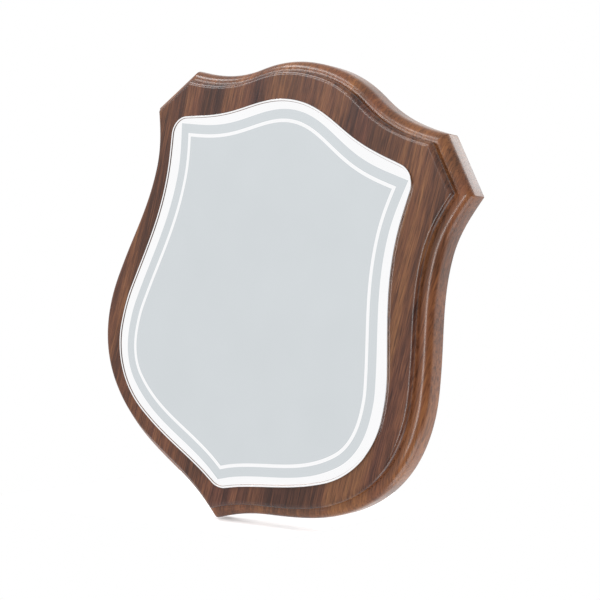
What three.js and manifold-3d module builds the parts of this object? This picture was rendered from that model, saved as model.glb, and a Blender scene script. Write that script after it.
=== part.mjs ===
import * as THREE from 'three';
import Module from 'manifold-3d';
import { mergeVertices } from 'three/addons/utils/BufferGeometryUtils.js';

// Award shield: a moulded wooden board with a thin metal plate on its front.
// Millimetres, +Z up, the front faces -Y. The flat back lies in the plane y = 0 and the
// origin is the middle of the board's height and width on that back.

// Board
const boardHeight = 228;
const boardWidth = 200.8;
const boardThickness = 17.5;
const faceArrisRadius = 2.3;
const stepDepth = 4.5;
const stepLean = 0.1;
const ovoloWidth = 5.1;
const ovoloDrop = 5.4;
const backArrisRadius = 0.8;

// Plate, laid on the board's face and turned a little on it, with a thin raised rim
const plateSideMargin = 9.5;
const plateTopMargin = 11.6;
const plateTipMargin = 9.8;
const plateThickness = 0.8;
const plateFieldThickness = 0.4;
const plateRimWidth = 0.85;
const plateRimSlope = 0.2;
const plateCornerRadius = 9.4;
const plateTurn = 2.2;
const plateShiftX = -0.6;
const adhesiveGap = 0.3;

// Keyhole slot routed into the back, for a screw head
const keyholeEntryDiameter = 9.6;
const keyholeNeckWidth = 5;
const keyholeTravel = 12;
const keyholeDepth = 8;
const keyholeNeckDepth = 3;
const keyholeAboveCentre = 56;
const keyholeOvershoot = 1;

// Steps along the outlines and round the profiles
const topSteps = 44;
const cutSteps = 5;
const sideSteps = 46;
const faceArrisSteps = 4;
const ovoloSteps = 8;
const backArrisSteps = 2;
const plateCornerSteps = 6;
const keyholeSteps = 24;

// How far a curve's handles reach, as a share of the distance between its two knots
const handleShare = 0.36;

// Points on the fine curve from which a run of the outline is offset and divided
const finePoints = 240;

// Half outlines, from the crest down the right side to the tip. A knot's place is in shares of
// the half width and half height, and its heading is the direction of travel in degrees.
const boardTop = [
  { x: 0, z: 1, heading: 0 },
  { x: 0.346, z: 0.924, heading: -28.4 },
  { x: 0.751, z: 0.849, heading: 0.3 },
];
const boardSide = [
  { x: 0.958, z: 0.648, heading: -112.1 },
  { x: 0.882, z: 0.388, heading: -90 },
  { x: 0.972, z: -0.064, heading: -78.7 },
  { x: 1, z: -0.259, heading: -90 },
  { x: 0.824, z: -0.648, heading: -134.8 },
  { x: 0.292, z: -0.882, heading: -163.2 },
  { x: 0, z: -1, heading: -148.3 },
];
const plateTop = [
  { x: 0, z: 1, heading: 0 },
  { x: 0.452, z: 0.877, heading: -21 },
  { x: 0.858, z: 0.788, heading: -10.9 },
];
const plateSide = [
  { x: 0.858, z: 0.788, heading: -96.6 },
  { x: 0.832, z: 0.507, heading: -90 },
  { x: 0.972, z: -0.186, heading: -76.4 },
  { x: 1, z: -0.404, heading: -90 },
  { x: 0.75, z: -0.752, heading: -151.9 },
  { x: 0, z: -1, heading: -155.4 },
];

const woodFinish = new THREE.MeshStandardMaterial({ color: 0x6e5142, roughness: 0.38, metalness: 0 });
const metalFinish = new THREE.MeshStandardMaterial({ color: 0xd3d8db, roughness: 0.25, metalness: 1 });

const wasm = await Module();
wasm.setup();

// Smooth curve through knots, one cubic for each stretch
function curveThrough(knots, halfWidth, halfHeight) {
  const path = new THREE.CurvePath();
  for (let i = 1; i < knots.length; i++) {
    const start = new THREE.Vector2(knots[i - 1].x * halfWidth, knots[i - 1].z * halfHeight);
    const end = new THREE.Vector2(knots[i].x * halfWidth, knots[i].z * halfHeight);
    const reach = start.distanceTo(end) * handleShare;
    const leaving = THREE.MathUtils.degToRad(knots[i - 1].heading);
    const arriving = THREE.MathUtils.degToRad(knots[i].heading);
    const handleOut = new THREE.Vector2(Math.cos(leaving), Math.sin(leaving)).multiplyScalar(reach).add(start);
    const handleIn = new THREE.Vector2(Math.cos(arriving), Math.sin(arriving)).multiplyScalar(-reach).add(end);
    path.add(new THREE.CubicBezierCurve(start, handleOut, handleIn, end));
  }
  return path.getSpacedPoints(finePoints);
}

function mirrored(points) {
  return points.map((point) => new THREE.Vector2(-point.x, point.y)).reverse();
}

// The crest's run from the left corner over the top to the right corner
function overTheTop(knots, halfWidth, halfHeight) {
  const right = curveThrough(knots, halfWidth, halfHeight);
  return mirrored(right).concat(right.slice(1));
}

function straightRun(start, end) {
  return new THREE.LineCurve(start, end).getSpacedPoints(finePoints);
}

// Clockwise runs, each smooth, that meet at the outline's corners
function boardRuns() {
  const top = overTheTop(boardTop, boardWidth / 2, boardHeight / 2);
  const side = curveThrough(boardSide, boardWidth / 2, boardHeight / 2);
  const cut = straightRun(top[top.length - 1], side[0]);
  return [
    { points: top, steps: topSteps },
    { points: cut, steps: cutSteps },
    { points: side, steps: sideSteps },
    { points: mirrored(side), steps: sideSteps },
    { points: mirrored(cut), steps: cutSteps },
  ];
}

function plateRuns(halfWidth, halfHeight) {
  const side = curveThrough(plateSide, halfWidth, halfHeight);
  return [
    { points: overTheTop(plateTop, halfWidth, halfHeight), steps: topSteps },
    { points: side, steps: sideSteps },
    { points: mirrored(side), steps: sideSteps },
  ];
}

function directionAt(points, i) {
  const before = points[Math.max(i - 1, 0)];
  const after = points[Math.min(i + 1, points.length - 1)];
  return after.clone().sub(before).normalize();
}

// A run moved sideways: outwards where the distance is positive, inwards where it is negative
function movedOut(points, distance) {
  return points.map((point, i) => {
    const along = directionAt(points, i);
    return new THREE.Vector2(point.x - along.y * distance, point.y + along.x * distance);
  });
}

function crossingOf(a, b, c, d) {
  const first = b.clone().sub(a);
  const second = d.clone().sub(c);
  const span = first.cross(second);
  if (span === 0) return null;
  const gap = c.clone().sub(a);
  const alongFirst = gap.cross(second) / span;
  const alongSecond = gap.cross(first) / span;
  const within = alongFirst >= 0 && alongFirst <= 1 && alongSecond >= 0 && alongSecond <= 1;
  return within ? a.clone().addScaledVector(first, alongFirst) : null;
}

// Cuts the end of one run and the start of the next where they cross, as a mitre does
function mitre(run, next) {
  for (let i = run.length - 2; i >= 0; i--) {
    for (let j = 0; j < next.length - 1; j++) {
      const corner = crossingOf(run[i], run[i + 1], next[j], next[j + 1]);
      if (corner) {
        return [run.slice(0, i + 1).concat([corner]), [corner].concat(next.slice(j + 1))];
      }
    }
  }
  return [run, next];
}

// Equal steps along a run, its last point left to the run that follows
function divided(points, steps) {
  const lengths = [0];
  for (let i = 1; i < points.length; i++) {
    lengths.push(lengths[i - 1] + points[i].distanceTo(points[i - 1]));
  }
  const total = lengths[lengths.length - 1];
  const result = [];
  let i = 1;
  for (let step = 0; step < steps; step++) {
    const target = (total * step) / steps;
    while (lengths[i] < target) i++;
    const share = (target - lengths[i - 1]) / (lengths[i] - lengths[i - 1]);
    result.push(points[i - 1].clone().lerp(points[i], share));
  }
  return result;
}

// Closed loop at a distance inside the outline, with mitred corners
function insetLoop(runs, distance) {
  const moved = runs.map((run) => movedOut(run.points, -distance));
  if (distance > 0) {
    for (let i = 0; i < moved.length; i++) {
      const next = (i + 1) % moved.length;
      [moved[i], moved[next]] = mitre(moved[i], moved[next]);
    }
  }
  return moved.flatMap((points, i) => divided(points, runs[i].steps));
}

// Closed loop at a distance outside the outline, with an arc round each corner
function roundedLoop(runs, distance) {
  const moved = runs.map((run) => movedOut(run.points, distance));
  return moved.flatMap((points, i) => {
    const corner = runs[i].points[runs[i].points.length - 1];
    const from = points[points.length - 1];
    const to = moved[(i + 1) % moved.length][0];
    const startAngle = Math.atan2(from.y - corner.y, from.x - corner.x);
    const endAngle = Math.atan2(to.y - corner.y, to.x - corner.x);
    const arc = new THREE.EllipseCurve(corner.x, corner.y, distance, distance, startAngle, endAngle, true);
    return divided(points, runs[i].steps).concat(arc.getPoints(plateCornerSteps).slice(0, -1));
  });
}

// Solid skin over loops that follow each other from the front to the back. Each level has a
// loop in x and z and the loop's y, and the first and the last level are closed with a cap.
function skinOver(levels) {
  const count = levels[0].loop.length;
  const positions = [];
  const faces = [];
  for (const { loop, y } of levels) {
    for (const point of loop) positions.push(point.x, y, point.y);
  }
  for (let level = 1; level < levels.length; level++) {
    const front = (level - 1) * count;
    const back = level * count;
    for (let i = 0; i < count; i++) {
      const next = (i + 1) % count;
      faces.push(front + i, back + next, back + i);
      faces.push(front + i, front + next, back + next);
    }
  }
  const lastLevel = (levels.length - 1) * count;
  for (const [a, b, c] of capTriangles(levels[0].loop)) faces.push(a, c, b);
  for (const [a, b, c] of capTriangles(levels[levels.length - 1].loop)) {
    faces.push(lastLevel + a, lastLevel + b, lastLevel + c);
  }
  const geometry = new THREE.BufferGeometry();
  geometry.setAttribute('position', new THREE.Float32BufferAttribute(positions, 3));
  geometry.setIndex(faces);
  return geometry;
}

// Clockwise triangles over a flat clockwise loop
function capTriangles(loop) {
  return THREE.ShapeUtils.triangulateShape(loop, []).map(([a, b, c]) => {
    const turn = loop[b].clone().sub(loop[a]).cross(loop[c].clone().sub(loop[a]));
    return turn < 0 ? [a, b, c] : [a, c, b];
  });
}

function toSolid(geometry) {
  const bare = geometry.clone();
  bare.deleteAttribute('normal');
  bare.deleteAttribute('uv');
  const merged = mergeVertices(bare);
  return new wasm.Manifold(new wasm.Mesh({
    numProp: 3,
    vertProperties: new Float32Array(merged.attributes.position.array),
    triVerts: new Uint32Array(merged.index.array),
  }));
}

function toGeometry(solid) {
  const mesh = solid.getMesh();
  const geometry = new THREE.BufferGeometry();
  geometry.setAttribute('position', new THREE.BufferAttribute(mesh.vertProperties, 3));
  geometry.setIndex(new THREE.BufferAttribute(mesh.triVerts, 1));
  return geometry;
}

// Moulding of the board's edge, from the face to the back: how far inside the outline and how
// deep behind the face each line of it lies
const faceInset = ovoloWidth + stepLean + faceArrisRadius;

function mouldingLines() {
  const lines = [];
  const quarterTurn = Math.PI / 2;
  for (let i = 0; i <= faceArrisSteps; i++) {
    const tilt = (quarterTurn * i) / faceArrisSteps;
    lines.push({
      inset: faceInset - faceArrisRadius * Math.sin(tilt),
      depth: faceArrisRadius * (1 - Math.cos(tilt)),
    });
  }
  for (let i = 0; i <= ovoloSteps; i++) {
    const tilt = (quarterTurn * i) / ovoloSteps;
    lines.push({
      inset: ovoloWidth * (1 - Math.sin(tilt)),
      depth: stepDepth + ovoloDrop * (1 - Math.cos(tilt)),
    });
  }
  for (let i = 0; i <= backArrisSteps; i++) {
    const tilt = (quarterTurn * i) / backArrisSteps;
    lines.push({
      inset: backArrisRadius * (1 - Math.cos(tilt)),
      depth: boardThickness - backArrisRadius * (1 - Math.sin(tilt)),
    });
  }
  return lines;
}

// Blind slot in the back: a round entry, a narrow neck above it, and behind the neck a wider
// channel in which the screw's head rides up
function keyholeCutter() {
  const neckHalf = keyholeNeckWidth / 2;
  const entryRadius = keyholeEntryDiameter / 2;
  const shoulderAngle = Math.acos(neckHalf / entryRadius);
  const mouth = new THREE.Shape();
  mouth.absarc(0, 0, entryRadius, Math.PI - shoulderAngle, shoulderAngle, false);
  mouth.absarc(0, keyholeTravel, neckHalf, 0, Math.PI, false);
  const channel = new THREE.Shape();
  channel.absarc(0, 0, entryRadius, Math.PI, 0, false);
  channel.absarc(0, keyholeTravel, entryRadius, 0, Math.PI, false);
  const mouthBody = new THREE.ExtrudeGeometry(mouth, {
    depth: keyholeDepth + keyholeOvershoot,
    bevelEnabled: false,
    curveSegments: keyholeSteps,
  });
  const channelBody = new THREE.ExtrudeGeometry(channel, {
    depth: keyholeDepth - keyholeNeckDepth,
    bevelEnabled: false,
    curveSegments: keyholeSteps,
  });
  return toSolid(intoTheBack(mouthBody)).add(toSolid(intoTheBack(channelBody)));
}

// Stands an extruded slot up so that it rises from the slot's floor towards the back
function intoTheBack(geometry) {
  geometry.rotateX(-Math.PI / 2);
  geometry.rotateY(Math.PI);
  return geometry.translate(0, -keyholeDepth, keyholeAboveCentre);
}

function makeBoard() {
  const runs = boardRuns();
  const levels = mouldingLines().map(({ inset, depth }) => ({
    loop: insetLoop(runs, inset),
    y: depth - boardThickness,
  }));
  const body = toSolid(skinOver(levels)).subtract(keyholeCutter());
  const board = new THREE.Mesh(toGeometry(body), woodFinish);
  board.name = 'shield_board';
  return board;
}

function makePlate() {
  const crest = boardHeight / 2 - faceInset - plateTopMargin;
  const tipHeading = THREE.MathUtils.degToRad(boardSide[boardSide.length - 1].heading);
  const faceTip = boardHeight / 2 - faceInset / Math.abs(Math.cos(tipHeading));
  const tip = faceTip - plateTipMargin;
  const halfWidth = boardWidth / 2 - faceInset - plateSideMargin - plateCornerRadius;
  const halfHeight = (crest + tip) / 2 - plateCornerRadius;
  const runs = plateRuns(halfWidth, halfHeight);
  const rimEdge = plateCornerRadius - plateRimWidth;
  const fieldEdge = rimEdge - plateRimSlope;
  const back = -boardThickness - adhesiveGap;
  const levels = [
    { loop: roundedLoop(runs, fieldEdge), y: back - plateFieldThickness },
    { loop: roundedLoop(runs, rimEdge), y: back - plateThickness },
    { loop: roundedLoop(runs, plateCornerRadius), y: back - plateThickness },
    { loop: roundedLoop(runs, plateCornerRadius), y: back },
  ];
  const plate = new THREE.Mesh(skinOver(levels), metalFinish);
  plate.name = 'front_plate';
  plate.rotation.y = -THREE.MathUtils.degToRad(plateTurn);
  plate.position.set(plateShiftX, 0, (crest - tip) / 2);
  return plate;
}

const awardShield = new THREE.Group();
awardShield.add(makeBoard(), makePlate());

export default awardShield;
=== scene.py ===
import bpy
import bmesh
import math
from mathutils import Matrix, Vector, geometry


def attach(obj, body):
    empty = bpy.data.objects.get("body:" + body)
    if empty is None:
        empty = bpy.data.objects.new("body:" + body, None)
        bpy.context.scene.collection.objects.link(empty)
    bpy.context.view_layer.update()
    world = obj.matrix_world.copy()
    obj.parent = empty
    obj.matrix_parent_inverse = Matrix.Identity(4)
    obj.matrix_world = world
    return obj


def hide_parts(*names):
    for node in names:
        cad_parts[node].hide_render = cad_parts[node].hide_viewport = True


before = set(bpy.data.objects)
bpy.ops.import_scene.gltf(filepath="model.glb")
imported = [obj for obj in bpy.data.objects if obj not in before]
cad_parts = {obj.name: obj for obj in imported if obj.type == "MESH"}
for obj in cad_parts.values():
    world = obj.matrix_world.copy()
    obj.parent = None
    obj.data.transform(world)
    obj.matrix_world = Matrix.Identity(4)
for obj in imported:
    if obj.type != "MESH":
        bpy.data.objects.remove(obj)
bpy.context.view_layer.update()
print("frame loaded:", sorted(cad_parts))

mm = 0.001
mergeDistance = 0.01 * mm
curveSteps = 64       # fine points between two knots of an outline
handleShare = 0.36    # reach of a curve's handles, as a share of the distance between two knots


def tone(red, green, blue):
    # screen colour from 0 to 255, as Blender's linear colour
    linear = [((c / 255 + 0.055) / 1.055) ** 2.4 if c > 10 else c / 255 / 12.92
              for c in (red, green, blue)]
    return (*linear, 1.0)


def addNode(tree, kind, inputs=None, **properties):
    # a node with its properties set; inputs are values or the outputs of other nodes
    node = tree.nodes.new(kind)
    for name, value in properties.items():
        setattr(node, name, value)
    for name, value in (inputs or {}).items():
        socket = node.inputs[name]
        if isinstance(value, bpy.types.NodeSocket):
            tree.links.new(value, socket)
        else:
            socket.default_value = value
    return node


def addRamp(tree, source, stops):
    ramp = addNode(tree, "ShaderNodeValToRGB", {"Fac": source})
    elements = ramp.color_ramp.elements
    while len(elements) < len(stops):
        elements.new(0.5)
    for element, (place, colour) in zip(elements, stops):
        element.position = place
        element.color = colour
    return ramp.outputs["Color"]


def multiplied(tree, colour, factor):
    # a colour times another one, or times a grey
    return addNode(tree, "ShaderNodeMix", {0: 1.0, 6: colour, 7: factor}, data_type="RGBA",
                   blend_type="MULTIPLY").outputs[2]


# Outlines are drawn as seen from the front, in x and z

def curveThrough(knots, halfWidth, halfHeight):
    # fine points through the knots; a knot is its place in shares and its heading in degrees
    points = []
    for (x0, z0, heading0), (x1, z1, heading1) in zip(knots, knots[1:]):
        start = Vector((x0 * halfWidth, 0, z0 * halfHeight))
        end = Vector((x1 * halfWidth, 0, z1 * halfHeight))
        reach = (end - start).length * handleShare
        leaving, arriving = math.radians(heading0), math.radians(heading1)
        handleOut = start + reach * Vector((math.cos(leaving), 0, math.sin(leaving)))
        handleIn = end - reach * Vector((math.cos(arriving), 0, math.sin(arriving)))
        points += geometry.interpolate_bezier(start, handleOut, handleIn, end, curveSteps)[:-1]
    return points + [end]


def stationsAlong(points, step, startGap, endGap):
    # even stations; a gap leaves a longer straight step at a sharp corner, room for its mitre
    lengths = [0.0]
    for before, after in zip(points, points[1:]):
        lengths.append(lengths[-1] + (after - before).length)
    total = lengths[-1]
    count = max(1, round((total - startGap - endGap) / step))
    marks = [startGap + (total - startGap - endGap) * i / count for i in range(count + 1)]
    if startGap:
        marks.insert(0, 0.0)
    if endGap:
        marks.append(total)
    stations = []
    i = 1
    for mark in marks:
        while i < len(points) - 1 and lengths[i] < mark:
            i += 1
        share = (mark - lengths[i - 1]) / (lengths[i] - lengths[i - 1])
        stations.append(points[i - 1].lerp(points[i], share))
    return stations


def movedOut(points, distance):
    # a half outline moved square to itself, its corners kept as mitres
    moved = []
    last = len(points) - 1
    mirror = Vector((-1, 1, 1))
    for i, point in enumerate(points):
        before = (point - points[i - 1]) if i else (point - points[1] * mirror)
        after = (points[i + 1] - point) if i < last else (points[last - 1] * mirror - point)
        before.normalize()
        after.normalize()
        along = (before + after).normalized()
        outward = Vector((-along.z, 0, along.x))
        moved.append(point + outward * distance / along.dot(before))
    return moved


def outlineFace(bm, half):
    # the half outline from crest to tip, mirrored and filled, facing the front
    verts = [bm.verts.new(point) for point in half]
    edges = [bm.edges.new(pair) for pair in zip(verts, verts[1:])]
    bmesh.ops.mirror(bm, geom=verts + edges, axis="X", merge_dist=mergeDistance)
    bmesh.ops.contextual_create(bm, geom=list(bm.edges))
    face = bm.faces[:][0]
    face.normal_update()
    if face.normal.y > 0:
        face.normal_flip()
    return face


def raisedFace(bm, face, rise):
    # the face drawn out towards the front, with a wall round it
    raised = bmesh.ops.extrude_face_region(bm, geom=[face])["geom"]
    front = [g for g in raised if isinstance(g, bmesh.types.BMFace)][0]
    bmesh.ops.translate(bm, vec=(0, -rise, 0), verts=front.verts)
    bmesh.ops.recalc_face_normals(bm, faces=bm.faces)
    return front


def insetStep(bm, face, width, rise):
    # the faces of the ring that the step leaves round the face
    return bmesh.ops.inset_region(bm, faces=[face], thickness=width, depth=rise,
                                  use_boundary=True, use_even_offset=True)["faces"]


def finishedPiece(name, bm, node, materials, sharpAngle):
    bmesh.ops.recalc_face_normals(bm, faces=bm.faces)
    mesh = bpy.data.meshes.new(name)
    bm.to_mesh(mesh)
    bm.free()
    for material in materials:
        mesh.materials.append(material)
    mesh.shade_smooth()
    mesh.set_sharp_from_angle(angle=math.radians(sharpAngle))
    piece = bpy.data.objects.new(name, mesh)
    bpy.context.scene.collection.objects.link(piece)
    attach(piece, "root")
    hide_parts(node)
    return piece


# Board: walnut with a moulded edge

board = {
    "height": 228 * mm, "width": 200.8 * mm, "thickness": 17.5 * mm,
    "top": [(0, 1, 0), (0.346, 0.924, -28.4), (0.751, 0.849, 0.3)],
    "side": [(0.958, 0.648, -112.1), (0.882, 0.388, -90), (0.972, -0.064, -78.7),
             (1, -0.259, -90), (0.824, -0.648, -134.8), (0.292, -0.882, -163.2),
             (0, -1, -148.3)],
    "step": 1.8 * mm, "cornerGap": 6.2 * mm,      # between stations, and beside a corner
    "faceArris": 2.3 * mm,                        # small round at the edge of the face
    "stepDepth": 4.5 * mm, "stepLean": 0.1 * mm,
    "ovoloWidth": 5.1 * mm, "ovoloDrop": 5.4 * mm,
    "backArris": 0.8 * mm,
    "arrisSteps": 8, "ovoloSteps": 14, "backSteps": 4,
    "flatMargin": 0.25 * mm,                      # keeps a round's shading off the flat beside it
    "mitreRound": 0.35 * mm, "mitreSteps": 3,
    "mitreReach": 12 * mm, "mitreSlack": 0.02 * mm,    # where the edges up a mitre are found
    "sharpAngle": 32,
}

keyhole = {
    "above": 56 * mm, "entry": 9.6 * mm, "neck": 5 * mm, "travel": 12 * mm,
    "depth": 8 * mm, "neckDepth": 3 * mm,
    "overlap": 1 * mm,                            # how far a cutter runs past what it opens
    "steps": 40,
}


def boardHalfOutline():
    halfWidth, halfHeight = board["width"] / 2, board["height"] / 2
    step, gap = board["step"], board["cornerGap"]
    top = stationsAlong(curveThrough(board["top"], halfWidth, halfHeight), step, 0, gap)
    side = stationsAlong(curveThrough(board["side"], halfWidth, halfHeight), step, gap, gap)
    cut = stationsAlong([top[-1], side[0]], step, gap, gap)
    return top + cut[1:-1] + side, [top[-1], side[0], side[-1]]


def quarterSteps(width, rise, count):
    # steps up a quarter round, from its steep outer edge to its flat inner edge
    angles = [math.pi / 2 * i / count for i in range(count + 1)]
    for before, after in zip(angles, angles[1:]):
        yield (width * (math.cos(before) - math.cos(after)),
               rise * (math.sin(after) - math.sin(before)))


def softenMitres(bm, half, corners):
    # rounds over every edge that runs up a mitre, from the back to the face
    for corner in corners:
        i = half.index(corner)
        atTip = i == len(half) - 1
        before = (corner - half[i - 1]).normalized()
        after = Vector((before.x, 0, -before.z)) if atTip else (half[i + 1] - corner).normalized()
        along = (before + after).normalized()
        for side in (1,) if atTip else (1, -1):
            place = Vector((corner.x * side, 0, corner.z))
            across = Vector((along.x * side, 0, along.z))
            onMitre = [e for e in bm.edges if all(
                abs((v.co - place).dot(across)) < board["mitreSlack"]
                and (Vector((v.co.x, 0, v.co.z)) - place).length < board["mitreReach"]
                for v in e.verts)]
            bmesh.ops.bevel(bm, geom=onMitre, offset=board["mitreRound"], offset_type="OFFSET",
                            affect="EDGES", segments=board["mitreSteps"], profile=0.5,
                            material=-1, clamp_overlap=True)


def keyholeCutter(radius, travel, near, far):
    # a round hole drawn out upwards by its travel, from the near depth to the far one
    bm = bmesh.new()
    bmesh.ops.create_circle(bm, cap_ends=True, segments=keyhole["steps"], radius=radius,
                            matrix=Matrix.Rotation(math.pi / 2, 4, "X"))
    upper = [v for v in bm.verts if v.co.z > mergeDistance]
    bmesh.ops.translate(bm, vec=(0, 0, travel), verts=upper)
    raisedFace(bm, bm.faces[:][0], near - far)
    bmesh.ops.translate(bm, vec=(0, near, keyhole["above"]), verts=bm.verts)
    bmesh.ops.recalc_face_normals(bm, faces=bm.faces)
    mesh = bpy.data.meshes.new("keyholeCutter")
    bm.to_mesh(mesh)
    bm.free()
    cutter = bpy.data.objects.new("keyholeCutter", mesh)
    bpy.context.scene.collection.objects.link(cutter)
    return cutter


def cutKeyhole(piece):
    # round entry, narrow neck and the wider channel behind it, cut into the back
    entryRadius, neckRadius = keyhole["entry"] / 2, keyhole["neck"] / 2
    depth, neckDepth = keyhole["depth"], keyhole["neckDepth"]
    travel, overlap = keyhole["travel"], keyhole["overlap"]
    cutters = [
        keyholeCutter(entryRadius, 0, overlap, -depth),
        keyholeCutter(neckRadius, travel, overlap, -neckDepth - overlap),
        keyholeCutter(entryRadius, travel, -neckDepth, -depth),
    ]
    for cutter in cutters:
        modifier = piece.modifiers.new("keyhole", "BOOLEAN")
        modifier.object = cutter
        modifier.operation = "DIFFERENCE"
        modifier.solver = "EXACT"
    bpy.context.view_layer.update()
    graph = bpy.context.evaluated_depsgraph_get()
    cutMesh = bpy.data.meshes.new_from_object(piece.evaluated_get(graph))
    bm = bmesh.new()
    bm.from_mesh(cutMesh)
    bmesh.ops.dissolve_degenerate(bm, dist=mergeDistance, edges=bm.edges)    # slivers of the cuts
    bm.to_mesh(cutMesh)
    bm.free()
    piece.modifiers.clear()
    piece.data = cutMesh
    for cutter in cutters:
        bpy.data.objects.remove(cutter)


def makeBoard(faceFinish, mouldingPaintedLight):
    bm = bmesh.new()
    half, corners = boardHalfOutline()
    back = outlineFace(bm, half)
    bmesh.ops.translate(bm, vec=(0, -board["backArris"], 0), verts=bm.verts)
    sideTop = board["thickness"] - board["stepDepth"] - board["ovoloDrop"]
    front = raisedFace(bm, back, sideTop - board["backArris"])
    for width, rise in quarterSteps(board["ovoloWidth"], board["ovoloDrop"], board["ovoloSteps"]):
        insetStep(bm, front, width, rise)
    insetStep(bm, front, board["stepLean"], board["stepDepth"] - board["faceArris"])
    # the first finish goes on the face and its edge, the second, a lighter copy with painted light,
    # on all the rest
    for face in bm.faces:
        face.material_index = 0 if face == front else 1
    for width, rise in quarterSteps(board["faceArris"], board["faceArris"], board["arrisSteps"]):
        for face in insetStep(bm, front, width, rise):
            face.material_index = 0
    insetStep(bm, front, board["flatMargin"], 0)
    # the back is the one face of many sides that lies furthest back
    backFace = max(bm.faces, key=lambda f: (len(f.verts) > 4, f.calc_center_median().y))
    for width, rise in quarterSteps(board["backArris"], board["backArris"], board["backSteps"]):
        insetStep(bm, backFace, width, rise)
    insetStep(bm, backFace, board["flatMargin"], 0)
    softenMitres(bm, half, corners)
    piece = finishedPiece("walnutBoard", bm, "shield_board",
                          [faceFinish, mouldingPaintedLight], board["sharpAngle"])
    cutKeyhole(piece)
    piece.data.set_sharp_from_angle(angle=math.radians(board["sharpAngle"]))


walnut = {
    # from the darkest streaks to the lightest
    "colours": [(0.0, (43, 25, 21)), (0.3, (63, 39, 30)), (0.5, (82, 51, 37)),
                (0.72, (98, 64, 44)), (1.0, (118, 82, 55))],
    "tints": [(0.38, (0.93, 0.88, 1.0, 1)), (0.58, (1.04, 1.06, 0.98, 1))],    # plum, olive
    # how many streaks in a metre across the grain and along it, then detail, roughness, seed
    "figure": (75, 5, 3, 0.55, 17.9),
    "bands": (420, 14, 3, 0.65, 8.4), "bandShare": 0.6,
    "fibres": (1500, 45, 3, 0.7, 1.7), "fibreShare": 0.95,
    "pores": (2400, 130, 1, 0.5, 5.3), "poreSpan": (0.36, 0.46), "poreDepth": 0.65,
    "clouds": (60, 4, 2, 0.5, 21.3),              # where the tints change
    "depthShare": 0.3,                            # pace of the grain's change with depth, to across
    "driftScale": (9, 9, 7), "drift": (12 * mm, 12 * mm, 0),
    "roughness": (0.4, 0.5), "ior": 1.45, "coat": 0.6, "coatRoughness": 0.26,
    "reliefStrength": 0.06, "reliefHeight": 0.2 * mm,
    "face": {"shade": (0.94, 0.9, 0.88, 1), "grainSpan": (0.95, 1.62)},
    "moulding": {"shade": (1.75, 1.68, 1.28, 1), "grainSpan": (0.75, 1.85)},    # painted light: the face's wood made lighter and warmer
}


def walnutMaterial(name, finish):
    material = bpy.data.materials.new(name)
    material.use_nodes = True
    tree = material.node_tree
    shader = tree.nodes["Principled BSDF"]
    place = addNode(tree, "ShaderNodeTexCoord").outputs["Object"]

    # slow sideways drift, so that the grain wanders a little as it climbs
    driftAt = addNode(tree, "ShaderNodeMapping", {"Vector": place, "Scale": walnut["driftScale"]})
    drift = addNode(tree, "ShaderNodeTexNoise", {
        "Vector": driftAt.outputs["Vector"], "Scale": 1, "Detail": 1})
    shift = addNode(tree, "ShaderNodeVectorMath", {
        0: drift.outputs["Color"], 1: (0.5, 0.5, 0.5)}, operation="SUBTRACT")
    bent = addNode(tree, "ShaderNodeVectorMath", {
        0: shift.outputs["Vector"], 1: walnut["drift"], 2: place},
        operation="MULTIPLY_ADD").outputs["Vector"]

    def streaks(across, along, detail, rough, seed):
        # noise drawn out up the grain; the shift keeps the slice that shows on the face
        faceShift = board["thickness"] * across * (1 - walnut["depthShare"])
        at = addNode(tree, "ShaderNodeMapping", {
            "Vector": bent, "Location": (seed, seed - faceShift, seed),
            "Scale": (across, across * walnut["depthShare"], along)}).outputs["Vector"]
        return addNode(tree, "ShaderNodeTexNoise", {
            "Vector": at, "Scale": 1, "Detail": detail, "Roughness": rough}).outputs["Fac"]

    def plus(value, share, base):
        return addNode(tree, "ShaderNodeMath", {0: value, 1: share, 2: base},
                       operation="MULTIPLY_ADD").outputs[0]

    def spread(value, span, low, high):
        # the part of the value that lies in the span, drawn out from low to high
        return addNode(tree, "ShaderNodeMapRange", {
            "Value": value, "From Min": span[0], "From Max": span[1],
            "To Min": low, "To Max": high}).outputs["Result"]

    bands = streaks(*walnut["bands"])
    fibres = streaks(*walnut["fibres"])
    grain = plus(bands, walnut["bandShare"], streaks(*walnut["figure"]))
    grain = plus(fibres, walnut["fibreShare"], grain)
    colour = addRamp(tree, spread(grain, finish["grainSpan"], 0, 1),
                     [(stop, tone(*shade)) for stop, shade in walnut["colours"]])
    tint = addRamp(tree, streaks(*walnut["clouds"]), walnut["tints"])
    pores = spread(streaks(*walnut["pores"]), walnut["poreSpan"], walnut["poreDepth"], 1)
    colour = multiplied(tree, multiplied(tree, colour, tint), pores)
    # the shade scales the wood's colour; on the moulding it is painted light, lighter and warmer
    # than on the face
    tree.links.new(multiplied(tree, colour, finish["shade"]), shader.inputs["Base Color"])

    tree.links.new(spread(bands, (0, 1), *walnut["roughness"]), shader.inputs["Roughness"])
    relief = addNode(tree, "ShaderNodeBump", {
        "Height": fibres, "Strength": walnut["reliefStrength"],
        "Distance": walnut["reliefHeight"]})
    tree.links.new(relief.outputs["Normal"], shader.inputs["Normal"])
    shader.inputs["IOR"].default_value = walnut["ior"]
    shader.inputs["Specular IOR Level"].default_value = 0.0    # all the gloss is the coat's
    shader.inputs["Coat Weight"].default_value = walnut["coat"]
    shader.inputs["Coat Roughness"].default_value = walnut["coatRoughness"]
    return material


makeBoard(walnutMaterial("walnutFace", walnut["face"]),
          walnutMaterial("walnutMouldingPaintedLight", walnut["moulding"]))
print("board made")


# Plate: thin metal, satin with a polished border and a polished line

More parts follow.
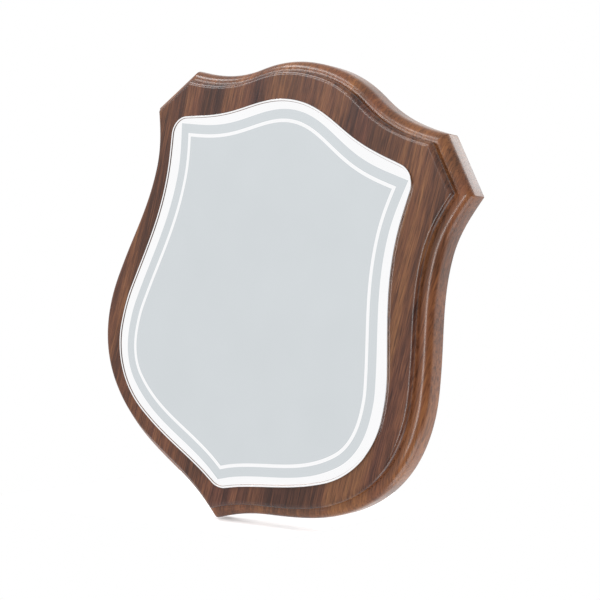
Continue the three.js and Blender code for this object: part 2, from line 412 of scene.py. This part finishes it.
plate = {
    # the outline lies one corner radius inside the plate's edge
    "halfWidth": 74 * mm, "crest": 85.5 * mm, "tip": 85.98 * mm,
    "top": [(0, 1, 0), (0.452, 0.877, -21), (0.858, 0.788, -10.9)],
    "side": [(0.858, 0.788, -96.6), (0.832, 0.507, -90), (0.972, -0.186, -76.4),
             (1, -0.404, -90), (0.75, -0.752, -151.9), (0, -1, -155.4)],
    "turn": 2.2, "shiftX": -0.6 * mm,
    "step": 1.6 * mm, "cornerGap": 7 * mm,
    "cornerRadius": 9.4 * mm, "cornerSteps": 12,
    "thickness": 0.8 * mm, "fieldThickness": 0.4 * mm, "adhesiveGap": 0.3 * mm,
    "rimWidth": 0.85 * mm, "rimSlope": 0.2 * mm, "rimArris": 0.12 * mm,
    "flatMargin": 0.15 * mm, "sharpAngle": 30,
}

finishLines = {
    "halfWidth": 76.8 * mm, "crest": 89.8 * mm, "tip": 91 * mm,
    "top": [(0, 1, 0), (0.513, 0.851, -19), (0.889, 0.792, -7.4)],
    "side": [(0.889, 0.792, -102), (0.839, 0.492, -90), (0.989, -0.246, -79.7),
             (1, -0.369, -90), (0.855, -0.676, -139.1), (0, -1, -150.7)],
    "turn": 1.3, "shiftX": -0.2 * mm,
    "step": 1.6 * mm, "cornerGap": 7 * mm,
    "borderEdge": 0.67 * mm,                      # the border begins this far outside the outline
    "lineOuter": 3.86 * mm, "lineInner": 5.51 * mm,    # and the line lies inside it
}


def plateHalfOutline(sizes):
    halfHeight = (sizes["crest"] + sizes["tip"]) / 2
    gap = sizes["cornerGap"]
    top, side = [
        stationsAlong(curveThrough(knots, sizes["halfWidth"], halfHeight), sizes["step"],
                      startGap, gap)
        for knots, startGap in ((sizes["top"], 0), (sizes["side"], gap))]
    return top + side[1:], [top[-1], side[-1]]


def seatOnBoard(bm, verts, sizes):
    # turned a little and shifted, as it was fixed
    turn = Matrix.Rotation(-math.radians(sizes["turn"]), 3, "Y")
    centre = (sizes["crest"] - sizes["tip"]) / 2
    bmesh.ops.rotate(bm, cent=(0, 0, 0), matrix=turn, verts=verts)
    bmesh.ops.translate(bm, vec=(sizes["shiftX"], 0, centre), verts=verts)


def roundCorner(bm, corner):
    vert = min(bm.verts, key=lambda v: (v.co - corner).length)
    first, second = [edge.other_vert(vert).co - vert.co for edge in vert.link_edges]
    halfTurn = (math.pi - first.angle(second)) / 2
    bmesh.ops.bevel(bm, geom=[vert], offset=plate["cornerRadius"] * math.tan(halfTurn),
                    offset_type="OFFSET", affect="VERTICES", segments=plate["cornerSteps"],
                    profile=0.5, material=-1)


def finishField():
    # satin ring, polished line and satin middle, laid in one plane
    bm = bmesh.new()
    half = plateHalfOutline(finishLines)[0]
    middle = outlineFace(bm, movedOut(half, finishLines["borderEdge"]))
    ring = insetStep(bm, middle, finishLines["borderEdge"] + finishLines["lineOuter"], 0)
    insetStep(bm, middle, finishLines["lineInner"] - finishLines["lineOuter"], 0)
    for face in ring + [middle]:
        face.material_index = 1
    seatOnBoard(bm, bm.verts[:], finishLines)
    bmesh.ops.translate(bm, vec=(0, -plate["fieldThickness"], 0), verts=bm.verts)
    mesh = bpy.data.meshes.new("plateField")
    bm.to_mesh(mesh)
    bm.free()
    return mesh


def makePlate(polished, satin, rimShade):
    bm = bmesh.new()
    half, corners = plateHalfOutline(plate)
    outer = movedOut(half, plate["cornerRadius"])
    outlineFace(bm, outer)
    cutCorner, tip = [outer[half.index(corner)] for corner in corners]
    for corner in (cutCorner, tip, Vector((-cutCorner.x, 0, cutCorner.z))):
        roundCorner(bm, corner)
    front = raisedFace(bm, bm.faces[:][0], plate["thickness"] - plate["rimArris"])
    insetStep(bm, front, plate["rimArris"], plate["rimArris"])
    insetStep(bm, front, plate["rimWidth"] - plate["rimArris"], 0)
    slope = insetStep(bm, front, plate["rimSlope"], plate["fieldThickness"] - plate["thickness"])
    # the inner slope takes the dark rim shade: a painted shade line between the rim and the border
    for face in slope:
        face.material_index = 2
    insetStep(bm, front, plate["flatMargin"], 0)
    seatOnBoard(bm, bm.verts[:], plate)
    borderEdges = front.edges[:]
    bmesh.ops.delete(bm, geom=[front], context="FACES_ONLY")

    # the field goes into the rim, and the polished border fills the space round it
    fieldMesh = finishField()
    known = set(bm.edges)
    bm.from_mesh(fieldMesh)
    bpy.data.meshes.remove(fieldMesh)
    fieldEdges = [e for e in bm.edges if e not in known and e.is_boundary]
    bmesh.ops.triangle_fill(bm, use_beauty=True, use_dissolve=False,
                            edges=borderEdges + fieldEdges, normal=(0, -1, 0))
    backLevel = -board["thickness"] - plate["adhesiveGap"]
    bmesh.ops.translate(bm, vec=(0, backLevel, 0), verts=bm.verts)
    finishedPiece("metalPlate", bm, "front_plate",
                  [polished, satin, rimShade], plate["sharpAngle"])


metal = {
    "polished": {"colour": (250, 250, 251), "roughness": 0.05, "ripple": 0.03},
    "satin": {"colour": (211, 216, 219), "roughness": 0.12, "ripple": 0.01},
    # dark brownish metal for the rim's inner slope: a painted shade line
    "rimShade": {"colour": (120, 98, 88), "roughness": 0.35, "ripple": 0.03},
    "cloudScale": 35, "grainScale": 2600, "span": (0.3, 0.7),
    "toneStep": 1,                                # clouds lighter and darker by one screen step
    "roughShare": 0.15, "rippleHeight": 1 * mm,
}


def metalMaterial(name, finish):
    material = bpy.data.materials.new(name)
    material.use_nodes = True
    tree = material.node_tree
    shader = tree.nodes["Principled BSDF"]
    shader.inputs["Metallic"].default_value = 1.0
    place = addNode(tree, "ShaderNodeTexCoord").outputs["Object"]
    low, high = metal["span"]

    def noise(scale):
        return addNode(tree, "ShaderNodeTexNoise", {
            "Vector": place, "Scale": scale, "Detail": 2}).outputs["Fac"]

    clouds = noise(metal["cloudScale"])
    darker = tone(*[c - metal["toneStep"] for c in finish["colour"]])
    lighter = tone(*[c + metal["toneStep"] for c in finish["colour"]])
    shade = addRamp(tree, clouds, [(low, darker), (high, lighter)])
    tree.links.new(shade, shader.inputs["Base Color"])
    rough = addNode(tree, "ShaderNodeMapRange", {
        "Value": noise(metal["grainScale"]), "From Min": low, "From Max": high,
        "To Min": finish["roughness"] * (1 - metal["roughShare"]),
        "To Max": finish["roughness"] * (1 + metal["roughShare"])})
    tree.links.new(rough.outputs["Result"], shader.inputs["Roughness"])
    ripple = addNode(tree, "ShaderNodeBump", {
        "Height": clouds, "Strength": finish["ripple"], "Distance": metal["rippleHeight"]})
    tree.links.new(ripple.outputs["Normal"], shader.inputs["Normal"])
    return material


makePlate(metalMaterial("polishedMetal", metal["polished"]),
          metalMaterial("satinMetal", metal["satin"]),
          metalMaterial("rimShadeMetal", metal["rimShade"]))
print("plate made")


# Studio: pale floor sheet, soft light and camera

floorSheet = {
    "width": 0.2, "depth": 0.16, "shiftX": -0.04, "shiftY": 0.04,
    "drop": 0.3 * mm,                             # clear of the tip
    "lean": 16.4,                                 # the shield leans on its tip, degrees
    "colour": (0.8, 0.8, 0.81, 1), "roughness": 0.9, "glow": 0.3,
}

room = {
    "light": 1.0, "backdrop": 1.75, "shade": 0.14,    # all round, behind, in the dark part
    "darkRight": (0.5, 0.6),                      # share of the way right where it turns dark
    "behind": (0.42, 0.56),                       # share of the way behind where the backdrop is
}

softboxes = {
    "distance": 1.6, "wattsAtOne": 4,             # for a square metre at a strength of one
    # azimuth and elevation as seen from the shield in degrees, width, height, strength
    "panels": {
        "topSoftbox": (-52, 40, 1.2, 0.24, 12.5),
        "lowSoftbox": (-38, 15, 1.1, 0.18, 13.0),
        "rightStrip": (37, -6, 0.24, 1.2, 14.0),
        "sideSoftbox": (106, -38, 0.9, 1.1, 3.5),
        "backSoftbox": (165, 33, 1.0, 0.6, 3.8),
    },
}

view = {
    "place": (375.5 * mm, -499.6 * mm, 107.4 * mm),
    "azimuth": 36.044, "elevation": 9.641, "roll": 13.365,
    "lens": 77.95, "sensor": 36,
}


def outwardFrom(azimuth, elevation):
    a, e = math.radians(azimuth), math.radians(elevation)
    return Vector((math.sin(a) * math.cos(e), -math.cos(a) * math.cos(e), math.sin(e)))


def makeFloor():
    lean = Matrix.Rotation(-math.radians(floorSheet["lean"]), 3, "Y")
    bm = bmesh.new()
    bmesh.ops.create_grid(bm, x_segments=1, y_segments=1, size=0.5)    # one metre square
    bmesh.ops.scale(bm, vec=(floorSheet["width"], floorSheet["depth"], 1), verts=bm.verts)
    bmesh.ops.translate(bm, verts=bm.verts, vec=(
        floorSheet["shiftX"], floorSheet["shiftY"], -floorSheet["drop"]))
    bmesh.ops.rotate(bm, cent=(0, 0, 0), matrix=lean, verts=bm.verts)
    bmesh.ops.translate(bm, vec=(0, 0, -board["height"] / 2), verts=bm.verts)
    mesh = bpy.data.meshes.new("floorSheet")
    bm.to_mesh(mesh)
    bm.free()
    sheet = bpy.data.objects.new("floorSheet", mesh)
    bpy.context.scene.collection.objects.link(sheet)
    material = bpy.data.materials.new("paleFloor")
    material.use_nodes = True
    shader = material.node_tree.nodes["Principled BSDF"]
    shader.inputs["Base Color"].default_value = floorSheet["colour"]
    shader.inputs["Roughness"].default_value = floorSheet["roughness"]
    shader.inputs["Emission Color"].default_value = (1, 1, 1, 1)
    shader.inputs["Emission Strength"].default_value = floorSheet["glow"]
    mesh.materials.append(material)


def makeRoom():
    # light by direction alone; the camera itself sees plain white
    world = bpy.data.worlds.new("studioRoom")
    world.use_nodes = True
    tree = world.node_tree
    tree.nodes.clear()
    towards = addNode(tree, "ShaderNodeTexCoord").outputs["Generated"]
    direction = addNode(tree, "ShaderNodeSeparateXYZ", {"Vector": towards}).outputs

    def fade(axis, span, near, far):
        return addNode(tree, "ShaderNodeMapRange", {
            "Value": direction[axis], "From Min": span[0], "From Max": span[1],
            "To Min": near, "To Max": far}, interpolation_type="SMOOTHSTEP").outputs["Result"]

    lightOrBackdrop = fade("Y", room["behind"], room["light"], room["backdrop"])
    inFront = fade("Y", room["behind"], 1, 0)
    darkness = addNode(tree, "ShaderNodeMath", {
        0: fade("X", room["darkRight"], 0, 1), 1: inFront}, operation="MULTIPLY").outputs[0]
    level = addNode(tree, "ShaderNodeMix", {0: darkness, 2: lightOrBackdrop, 3: room["shade"]})
    glow = addNode(tree, "ShaderNodeBackground", {
        "Color": (1, 1, 1, 1), "Strength": level.outputs[0]})
    white = addNode(tree, "ShaderNodeBackground", {"Color": (1, 1, 1, 1), "Strength": 1.0})
    path = addNode(tree, "ShaderNodeLightPath")
    mix = addNode(tree, "ShaderNodeMixShader", {
        0: path.outputs["Is Camera Ray"], 1: glow.outputs[0], 2: white.outputs[0]})
    addNode(tree, "ShaderNodeOutputWorld", {"Surface": mix.outputs[0]})
    bpy.context.scene.world = world


def makeLights():
    for name, (azimuth, elevation, width, height, strength) in softboxes["panels"].items():
        light = bpy.data.lights.new(name, "AREA")
        light.shape = "RECTANGLE"
        light.size, light.size_y = width, height
        light.energy = strength * width * height * softboxes["wattsAtOne"]
        lamp = bpy.data.objects.new(name, light)
        outward = outwardFrom(azimuth, elevation)
        lamp.location = outward * softboxes["distance"]
        lamp.rotation_euler = (-outward).to_track_quat("-Z", "Y").to_euler()
        bpy.context.scene.collection.objects.link(lamp)


def makeCamera():
    data = bpy.data.cameras.new("shieldView")
    data.lens = view["lens"]
    data.sensor_width = view["sensor"]
    camera = bpy.data.objects.new("shieldView", data)
    camera.location = view["place"]
    level = (-outwardFrom(view["azimuth"], view["elevation"])).to_track_quat("-Z", "Y")
    roll = Matrix.Rotation(math.radians(view["roll"]), 3, "Z").to_quaternion()
    camera.rotation_mode = "QUATERNION"
    camera.rotation_quaternion = level @ roll
    bpy.context.scene.collection.objects.link(camera)
    bpy.context.scene.camera = camera


makeFloor()
makeRoom()
makeLights()
makeCamera()
bpy.context.scene.view_settings.view_transform = "Standard"
print("studio made")
